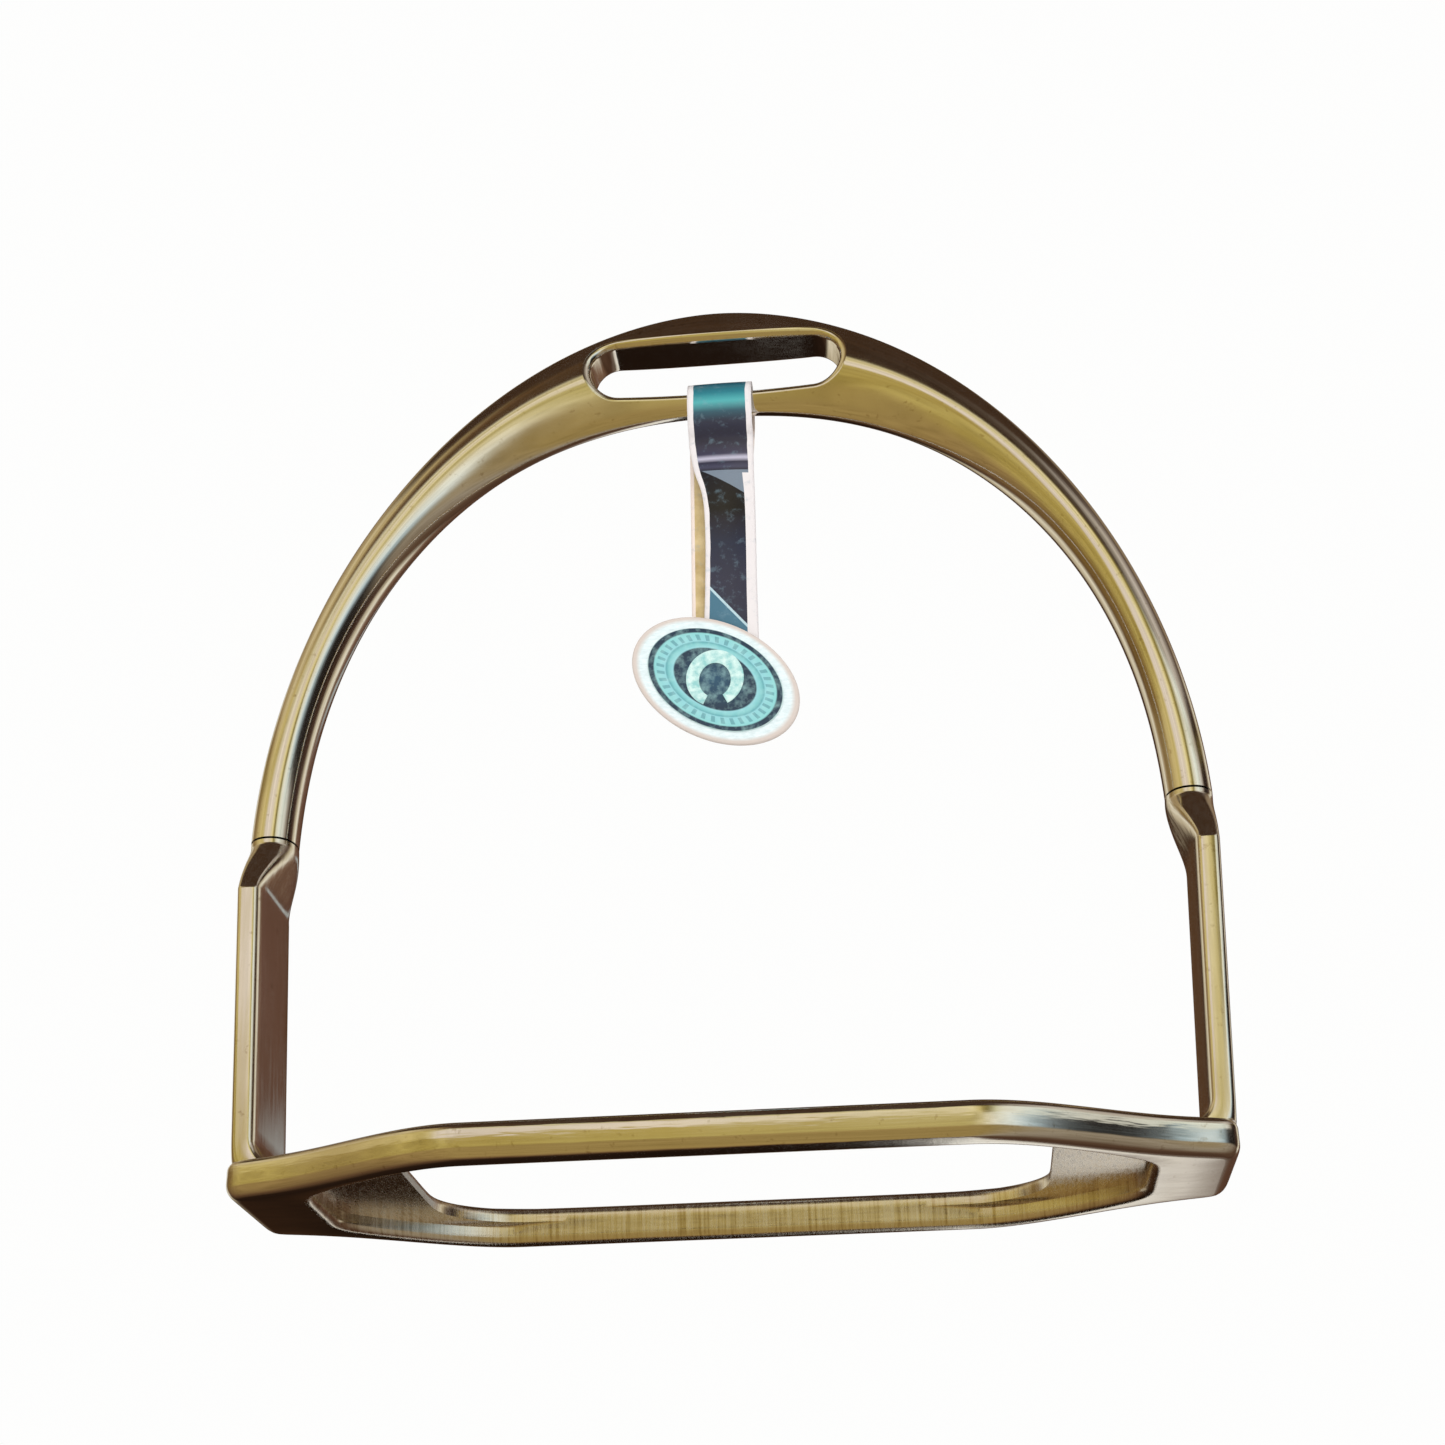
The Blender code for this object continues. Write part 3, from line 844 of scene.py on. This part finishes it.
def figure_material():
    material, nodes, shader = new_material("tag_figure")
    where = nodes.add("ShaderNodeTexCoord").outputs["Object"]
    mottle = nodes.noise(where, 1100.0, 4.0, 0.6)
    tone = nodes.ramp(mottle, [(0.35, srgb(140, 196, 194)), (0.65, srgb(206, 230, 224))])
    nodes.link(tone, shader.inputs["Base Color"])
    shader.inputs["Roughness"].default_value = 0.4
    bump(nodes, shader, mottle, 0.2, 0.02 * MM)
    return material


def strap_material():
    """Print along the strap: cream borders, teal over the bar, navy below, a pale crease and a triangle, with
    a painted highlight across the teal and a painted glint below the crease.
    """
    material, nodes, shader = new_material("tag_strap_print")
    coordinates = nodes.add("ShaderNodeTexCoord")
    across, along, _ = nodes.xyz(coordinates.outputs["UV"])
    where = coordinates.outputs["Object"]
    _, _, height = nodes.xyz(where)
    low, high = 78.0 * MM, 122.0 * MM
    level = nodes.math("DIVIDE", nodes.math("SUBTRACT", height, low), high - low)

    def at(z_mm):
        return (z_mm * MM - low) / (high - low)

    navy, ink = srgb(30, 38, 62), srgb(20, 20, 26)
    # Colour by height along the strap. The bright teal stop at 116.6 mm, over the bar, is a painted highlight
    # on the strap's curve, not print.
    body = nodes.ramp(
        level,
        [
            (at(79), srgb(40, 44, 66)),
            (at(88), srgb(42, 44, 66)),
            (at(94), navy),
            (at(97.5), srgb(30, 30, 46)),
            (at(99.5), ink),
            (at(105.8), srgb(24, 24, 34)),
            (at(106.6), srgb(66, 66, 88)),
            (at(107.4), srgb(44, 44, 64)),
            (at(108.1), srgb(184, 180, 198)),
            (at(108.8), srgb(60, 58, 80)),
            (at(110.6), srgb(40, 40, 60)),
            (at(113.6), srgb(40, 46, 68)),
            (at(115.0), srgb(44, 84, 100)),
            (at(116.6), srgb(74, 164, 166)),
            (at(118.2), srgb(40, 118, 130)),
            (at(120.0), srgb(32, 88, 104)),
            (at(121.2), srgb(28, 72, 88)),
        ],
    )
    # A painted glint, a highlight painted below the crease, ends on a slope, and the print has a lighter
    # triangle near the disc.
    sloping = nodes.math("ADD", level, nodes.math("MULTIPLY", across, 0.13))
    painted_glint = nodes.math(
        "MULTIPLY",
        nodes.math("GREATER_THAN", sloping, at(101.0) + 0.13),
        nodes.math("LESS_THAN", level, at(106.0)),
    )
    with_painted_glint = nodes.mix_colour(nodes.math("MULTIPLY", painted_glint, 0.75), body, srgb(128, 142, 158))
    rise = nodes.math("ADD", level, nodes.math("MULTIPLY", across, 0.20))
    triangle = nodes.math("LESS_THAN", rise, at(81.5) + 0.14)
    filled = nodes.mix_colour(triangle, with_painted_glint, srgb(62, 108, 130))
    line = nodes.math("COMPARE", rise, at(81.5) + 0.14)
    line.node.inputs[2].default_value = 0.006
    lined = nodes.mix_colour(line, filled, srgb(172, 198, 206))
    # Borders: uneven width, widest on the right below the bar.
    wobble = nodes.noise(nodes.stretched(where, (0.0, 0.0, 260.0)), 1.0, 2.0, 0.5)
    edge = nodes.math("ABSOLUTE", nodes.math("SUBTRACT", across, 0.5))
    limit = nodes.math("ADD", nodes.math("MULTIPLY", wobble, 0.04), 0.385)
    border = nodes.math("GREATER_THAN", edge, limit)
    wide = nodes.math(
        "MULTIPLY", nodes.math("GREATER_THAN", across, 0.80), nodes.math("LESS_THAN", level, at(105.5))
    )
    border = nodes.math("MAXIMUM", border, wide)
    front = nodes.mix_colour(border, lined, srgb(222, 216, 216))
    # The back leg shows its plain tan side.
    is_back = nodes.math("LESS_THAN", along, 0.36)
    tan = nodes.ramp(
        nodes.noise(where, 300.0, 4.0, 0.6), [(0.3, srgb(176, 150, 96)), (0.7, srgb(214, 192, 144))]
    )
    rim = nodes.math("GREATER_THAN", edge, 0.44)
    tan_edged = nodes.mix_colour(rim, tan, srgb(232, 216, 206))
    colour = nodes.mix_colour(is_back, front, tan_edged)
    scuff = nodes.noise(where, 700.0, 5.0, 0.7)
    worn = nodes.rise(scuff, 0.55, 0.80, 0.5)
    nodes.link(nodes.mix_colour(worn, colour, srgb(120, 150, 164)), shader.inputs["Base Color"])
    shader.inputs["Roughness"].default_value = 0.3
    shader.inputs["Coat Weight"].default_value = 0.35
    shader.inputs["Coat Roughness"].default_value = 0.12
    bump(nodes, shader, scuff, 0.25, 0.03 * MM)
    return material


# ---------------------------------------------------------------- stage, light, camera


MIDDLE_BAND = [  # what the bow and the upper plates mirror, going round from the back by the left
    (-180, (86, 58, 34)),
    (-160, (58, 38, 25)),
    (-151, (186, 172, 146)),
    (-136, (228, 220, 200)),
    (-124, (150, 126, 88)),
    (-112, (128, 104, 66)),
    (-96, (150, 126, 80)),
    (-78, (188, 166, 112)),
    (-60, (206, 186, 126)),
    (-44, (198, 178, 112)),
    (-30, (208, 194, 154)),
    (-18, (226, 216, 186)),
    (-6, (216, 202, 156)),
    (5, (236, 222, 172)),
    (10, (206, 188, 122)),
    (14, (150, 134, 74)),
    (18, (116, 102, 48)),
    (23, (196, 190, 150)),
    (32, (238, 236, 222)),
    (48, (226, 232, 222)),
    (64, (208, 206, 196)),
    (78, (150, 138, 126)),
    (86, (58, 42, 34)),
    (100, (34, 24, 19)),
    (116, (70, 48, 36)),
    (126, (196, 184, 160)),
    (138, (230, 224, 208)),
    (146, (120, 92, 74)),
    (158, (96, 68, 56)),
    (180, (86, 58, 38)),
]
LOW_BAND = [  # what the tread's walls and the plates' feet mirror
    (-180, (86, 58, 34)),
    (-160, (58, 38, 25)),
    (-151, (186, 172, 146)),
    (-136, (228, 220, 200)),
    (-120, (104, 78, 46)),
    (-84, (140, 112, 60)),
    (-58, (206, 184, 104)),
    (-40, (178, 156, 78)),
    (-26, (194, 174, 100)),
    (-16, (174, 152, 80)),
    (-6, (186, 166, 94)),
    (3, (196, 180, 118)),
    (10, (214, 200, 152)),
    (20, (232, 226, 204)),
    (34, (226, 234, 232)),
    (46, (170, 188, 196)),
    (54, (104, 112, 116)),
    (62, (38, 34, 32)),
    (90, (34, 26, 20)),
    (116, (70, 48, 36)),
    (126, (196, 184, 160)),
    (138, (230, 224, 208)),
    (146, (120, 92, 74)),
    (158, (90, 64, 52)),
    (180, (86, 58, 38)),
]
CLUTTER = [  # dim low things in front, thickest on the left, mirrored as streaks in the front rail
    (-180, (0, 0, 0)),
    (-120, (0, 0, 0)),
    (-90, (255, 255, 255)),
    (-42, (255, 255, 255)),
    (-24, (150, 150, 150)),
    (14, (130, 130, 130)),
    (28, (0, 0, 0)),
    (180, (0, 0, 0)),
]
ABOVE = [
    (-180, (70, 46, 28)),
    (-136, (150, 130, 100)),
    (-104, (172, 150, 108)),
    (-70, (208, 190, 148)),
    (-46, (180, 158, 110)),
    (-28, (96, 70, 42)),
    (-10, (58, 40, 26)),
    (10, (60, 43, 29)),
    (26, (84, 70, 58)),
    (44, (156, 146, 134)),
    (66, (196, 186, 176)),
    (92, (150, 138, 128)),
    (114, (84, 66, 54)),
    (138, (150, 130, 104)),
    (180, (70, 46, 28)),
]
BELOW = [
    (-180, (26, 17, 12)),
    (-150, (40, 26, 18)),
    (-120, (96, 70, 48)),
    (-60, (150, 124, 76)),
    (-20, (158, 134, 80)),
    (20, (150, 128, 78)),
    (60, (150, 138, 120)),
    (115, (90, 68, 52)),
    (160, (74, 52, 40)),
    (170, (112, 98, 88)),
    (174, (228, 222, 214)),
    (180, (240, 238, 234)),
]

# Heights, as the sine of the elevation, between which one band gives way to the next.
MIDDLE_STARTS = (0.285, 0.305)
ABOVE_STARTS = (0.51, 0.585)
OVERHEAD_STARTS = (0.74, 0.84)
BELOW_STARTS = (0.10, 0.30)  # downwards


def share_of_turn(degrees):
    return degrees / 360.0 + 0.5


def band(nodes, turn, stops):
    """Colours by the direction round the room, in degrees: 0 is the front, and 90 the iron's right."""
    return nodes.ramp(turn, [(share_of_turn(degrees), srgb(*colour)) for degrees, colour in stops])


def patch(nodes, room, turn, height, turns, heights, colour, peak=1.0):
    """A patch of wall that fades in and out between these turns, in degrees, and these heights."""
    across = nodes.between(turn, *[share_of_turn(degrees) for degrees in turns])
    up = nodes.between(height, *heights, peak=peak)
    return nodes.mix_colour(nodes.math("MULTIPLY", up, across), room, srgb(*colour))


def make_world():
    """A plain pale studio. In its place the metal mirrors a warm room, dim behind and above."""
    world = bpy.data.worlds.new("studio")
    bpy.context.scene.world = world
    world.use_nodes = True
    nodes = Nodes(world.node_tree)
    background = world.node_tree.nodes["Background"]
    direction = nodes.add("ShaderNodeTexCoord").outputs["Generated"]
    x, y, z = nodes.xyz(direction)
    # The room isn't tidy: its edges wander a little and its surfaces aren't even.
    wander = nodes.math("SUBTRACT", nodes.noise(direction, 7.0, 3.0, 0.55), 0.5)
    turn = nodes.math("ARCTAN2", x, nodes.math("MULTIPLY", y, -1.0))
    turn = nodes.math("ADD", nodes.math("DIVIDE", turn, 2 * math.pi), 0.5)
    turn = nodes.math("ADD", turn, nodes.math("MULTIPLY", wander, 0.030))
    height = nodes.math("ADD", z, nodes.math("MULTIPLY", wander, 0.05))

    fine = nodes.noise(nodes.stretched(direction, (46.0, 46.0, 200.0)), 1.0, 3.0, 0.6)
    clutter = nodes.math("MULTIPLY", nodes.rise(fine, 0.45, 0.58, 0.75), band(nodes, turn, CLUTTER))
    low = nodes.mix_colour(clutter, band(nodes, turn, LOW_BAND), srgb(98, 76, 40))
    shelf = nodes.ramp(height, [(0.455, BLACK), (0.475, grey(0.6)), (0.500, BLACK)])
    middle = nodes.mix_colour(shelf, band(nodes, turn, MIDDLE_BAND), srgb(146, 128, 68))

    room = nodes.mix_colour(nodes.step(height, MIDDLE_STARTS), low, middle)
    # A paler wall in front, mirrored by the left plate's front, and a grey gap behind, by its foot.
    room = patch(nodes, room, turn, height, (-38, -28, -8, 2), (0.27, 0.30, 0.42, 0.45), (228, 214, 204), 0.8)
    room = patch(nodes, room, turn, z, (150, 156, 168, 174), (0.225, 0.245, 0.285, 0.31), (166, 170, 170))
    room = nodes.mix_colour(nodes.step(height, ABOVE_STARTS), room, band(nodes, turn, ABOVE))
    room = nodes.mix_colour(nodes.step(height, OVERHEAD_STARTS), room, srgb(62, 43, 28))
    downward = nodes.math("MULTIPLY", z, -1.0)
    room = nodes.mix_colour(nodes.step(downward, BELOW_STARTS), room, band(nodes, turn, BELOW))
    clouds = nodes.noise(direction, 11.0, 4.0, 0.6)
    uneven = nodes.ramp(clouds, [(0.35, (0.74, 0.72, 0.67, 1.0)), (0.58, grey(1.0))])
    room = nodes.mix_colour(1.0, room, uneven, "MULTIPLY")

    path = nodes.add("ShaderNodeLightPath")
    backdrop, soft_light = (0.94, 0.94, 0.935, 1.0), (1.03, 1.03, 1.025, 1.0)
    seen = nodes.mix_colour(path.outputs["Is Diffuse Ray"], backdrop, soft_light)
    seen = nodes.mix_colour(path.outputs["Is Glossy Ray"], seen, room)
    nodes.link(seen, background.inputs["Color"])
    background.inputs["Strength"].default_value = 1.05


def make_floor():
    """A pale floor that the iron stands on. It can't be seen from below, where the camera is."""
    bm = bmesh.new()
    bmesh.ops.create_grid(bm, x_segments=1, y_segments=1, size=FLOOR_HALF_SIZE)
    mesh = bpy.data.meshes.new("floor")
    bm.to_mesh(mesh)
    bm.free()
    mesh.transform(Matrix.Translation((0.0, 0.0, -FLOOR_DROP)))
    material, nodes, shader = new_material("pale_floor")
    shader.inputs["Base Color"].default_value = (0.90, 0.90, 0.895, 1.0)
    shader.inputs["Roughness"].default_value = 0.8
    clear = nodes.add("ShaderNodeBsdfTransparent")
    either = nodes.add("ShaderNodeMixShader")
    nodes.link(nodes.add("ShaderNodeNewGeometry").outputs["Backfacing"], either.inputs["Fac"])
    nodes.link(shader.outputs["BSDF"], either.inputs[1])
    nodes.link(clear.outputs["BSDF"], either.inputs[2])
    nodes.link(either.outputs["Shader"], material.node_tree.nodes["Material Output"].inputs["Surface"])
    floor = place("floor", mesh, material)
    floor.visible_glossy = False


def make_light(name, place_at, size, power, colour):
    data = bpy.data.lights.new(name, "AREA")
    data.shape = "DISK"
    data.size = size
    data.energy = power
    data.color = colour
    light = bpy.data.objects.new(name, data)
    light.location = place_at
    light.rotation_euler = (Vector(MIDDLE_OF_IRON) - Vector(place_at)).to_track_quat("-Z", "Y").to_euler()
    light.visible_glossy = False
    light.visible_camera = False
    bpy.context.scene.collection.objects.link(light)


def make_lights():
    make_light("key", (0.25, -0.70, 0.45), size=0.55, power=1.8, colour=(0.98, 0.99, 1.0))
    make_light("fill", (-0.60, -0.45, 0.25), size=0.6, power=0.6, colour=(1.0, 0.99, 0.97))
    make_light("back", (0.1, 0.70, 0.55), size=0.6, power=0.9, colour=(1.0, 0.97, 0.93))


def make_camera():
    data = bpy.data.cameras.new("camera")
    data.lens = CAMERA_LENS
    data.clip_start = 0.01
    data.clip_end = 20.0
    camera = bpy.data.objects.new("camera", data)
    away = Vector(
        (
            math.sin(CAMERA_AZIMUTH) * math.cos(CAMERA_ELEVATION),
            -math.cos(CAMERA_AZIMUTH) * math.cos(CAMERA_ELEVATION),
            math.sin(CAMERA_ELEVATION),
        )
    )
    facing = (-away).to_track_quat("-Z", "Y").to_matrix().to_4x4()
    roll = Matrix.Rotation(CAMERA_ROLL, 4, "Z")
    stand = Matrix.Translation(Vector(MIDDLE_OF_IRON) + away * CAMERA_DISTANCE)
    camera.matrix_world = stand @ facing @ roll
    bpy.context.scene.collection.objects.link(camera)
    bpy.context.scene.camera = camera


def main():
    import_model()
    plate_metal = polished_plate_metal()
    make_bow(polished_bow_metal())
    make_side_plate("side_plate_left_polished", -1, "side_plate_left", plate_metal)
    make_side_plate("side_plate_right_polished", 1, "side_plate_right", plate_metal)
    make_tread(polished_tread_metal())
    make_strap(strap_material())
    make_disc(card_material())
    make_seal(seal_material())
    make_horseshoe(figure_material())
    make_world()
    make_floor()
    make_lights()
    make_camera()
    bpy.context.scene.view_settings.view_transform = "Standard"


main()
